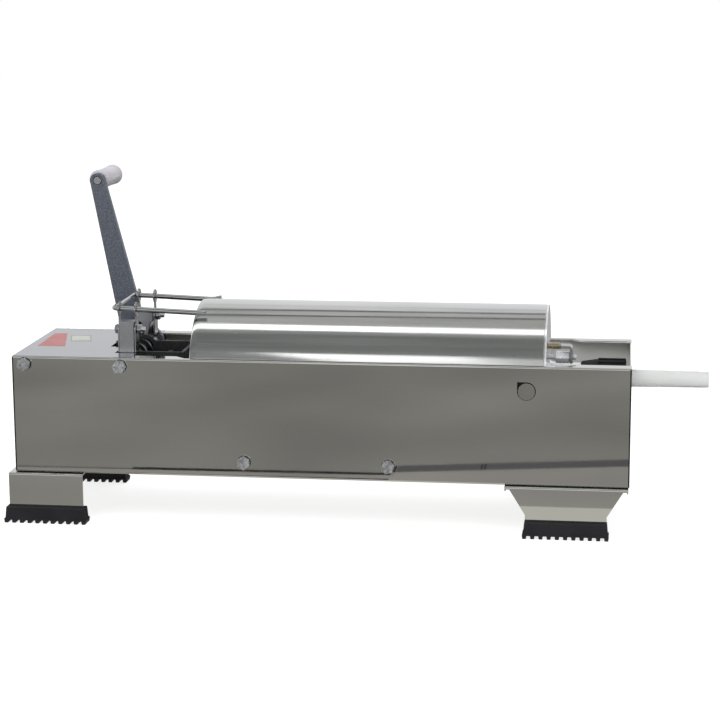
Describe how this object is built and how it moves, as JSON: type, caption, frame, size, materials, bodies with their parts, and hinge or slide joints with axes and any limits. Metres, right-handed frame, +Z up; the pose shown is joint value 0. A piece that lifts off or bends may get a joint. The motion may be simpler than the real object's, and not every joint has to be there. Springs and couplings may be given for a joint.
{
  "type": "sausage stuffer",
  "caption": "Horizontal lever sausage stuffer: open sheet-metal chassis on rubber feet, steel cylinder, friction-driven push rod and a plastic nozzle.",
  "frame": {"origin": "under the middle of the overall box, on the plane that the soles stand on", "axes": "+X from the rear end towards the nozzle, +Y from the front wall to the lever's grip side, +Z up"},
  "size_m": [0.7986, 0.241, 0.3893],
  "materials": {
    "polished_sheet": "polished stainless sheet",
    "bright_sheet": "bright rolled stainless sheet",
    "steel": "machined steel",
    "zinc": "bright zinc-plated steel",
    "chrome": "polished chrome plate",
    "brass": "turned brass",
    "lever_paint": "dark grey speckled paint",
    "frame_paint": "matt black paint",
    "rubber": "matt black moulded rubber",
    "black_plastic": "black moulded plastic",
    "pale_plastic": "pale grey moulded plastic",
    "nozzle_plastic": "translucent white plastic",
    "seal": "pale food-grade seal"
  },
  "bodies": {
    "chassis": {"chassis_shell": "polished_sheet", "clamp_bracket_far": "zinc", "clamp_bracket_near": "zinc", "clamp_screw_far": "zinc", "clamp_screw_near": "zinc", "clamp_stud_far": "brass", "clamp_stud_near": "brass", "cover_rod": "steel", "cylinder": "bright_sheet", "drive_spring": "steel", "far_front_strap": "zinc", "far_post": "steel", "far_rear_strap": "zinc", "far_spacer": "zinc", "far_strap_bolt": "zinc", "far_strap_nut": "zinc", "far_wall_screw_1": "zinc", "far_wall_screw_2": "zinc", "far_wall_screw_3": "zinc", "far_wall_screw_4": "zinc", "front_cap": "bright_sheet", "front_cradle_rod": "steel", "front_end_plate": "polished_sheet", "front_foot_bracket": "polished_sheet", "front_guide_bush": "brass", "front_shoe_far": "rubber", "front_shoe_near": "rubber", "lock_spring": "steel", "mechanism_frame": "frame_paint", "near_front_strap": "zinc", "near_post": "steel", "near_rear_strap": "zinc", "near_spacer": "zinc", "near_strap_bolt": "zinc", "near_strap_nut": "zinc", "near_wall_screw_1": "zinc", "near_wall_screw_2": "zinc", "near_wall_screw_3": "zinc", "near_wall_screw_4": "zinc", "nozzle": "nozzle_plastic", "pivot_shaft": "steel", "rear_cradle_rod": "steel", "rear_end_plate": "polished_sheet", "rear_foot_bracket": "polished_sheet", "rear_guide_bush": "brass", "rear_shoe_far": "rubber", "rear_shoe_near": "rubber", "top_cover": "polished_sheet"},
    "lever": {"lever": "lever_paint", "crank_fork": "steel", "grip_bolt": "zinc"},
    "grip": {"grip": "pale_plastic"},
    "push_rod": {"push_rod": "chrome", "piston": "bright_sheet", "piston_seal": "seal", "piston_nut": "zinc"},
    "drive_plate": {"drive_plate": "steel"},
    "lock_plate": {"lock_plate": "steel"},
    "latch_fork": {"latch_fork": "chrome"},
    "ring_nut": {"ring_nut": "black_plastic"}
  },
  "joints": [
    {"name": "lever_swing", "type": "hinge", "parent": "chassis", "child": "lever", "pos_m": [-0.26175, -0.01427, 0.1831], "axis": [0, 1, 0], "range_deg": [-11, 26]},
    {"name": "drive_slide", "type": "slide", "parent": "chassis", "child": "drive_plate", "axis": [1, 0, 0], "range_m": [-0.0145, 0.0062], "deforming": ["drive_spring"]},
    {"name": "lock_tilt", "type": "hinge", "parent": "chassis", "child": "lock_plate", "pos_m": [-0.28125, -0.01427, 0.1322], "axis": [0, 1, 0], "range_deg": [0, 3], "deforming": ["lock_spring"]},
    {"name": "rod_slide", "type": "slide", "parent": "chassis", "child": "push_rod", "axis": [1, 0, 0], "range_m": [-0.334, 0.03]},
    {"name": "latch_slide", "type": "slide", "parent": "chassis", "child": "latch_fork", "axis": [0.9992, 0, -0.04], "range_m": [-0.03, 0]},
    {"name": "grip_spin", "type": "hinge", "parent": "lever", "child": "grip", "pos_m": [-0.32145, 0.08572, 0.3773], "axis": [0, 1, 0], "continuous": true},
    {"name": "ring_nut_turn", "type": "hinge", "parent": "chassis", "child": "ring_nut", "pos_m": [0.27225, -0.01427, 0.1637], "axis": [1, 0, 0], "continuous": true}
  ],
  "couplings": [
    {"joint": "drive_slide", "follows": "lever_swing", "m_per_rad": -0.03141}
  ]
}
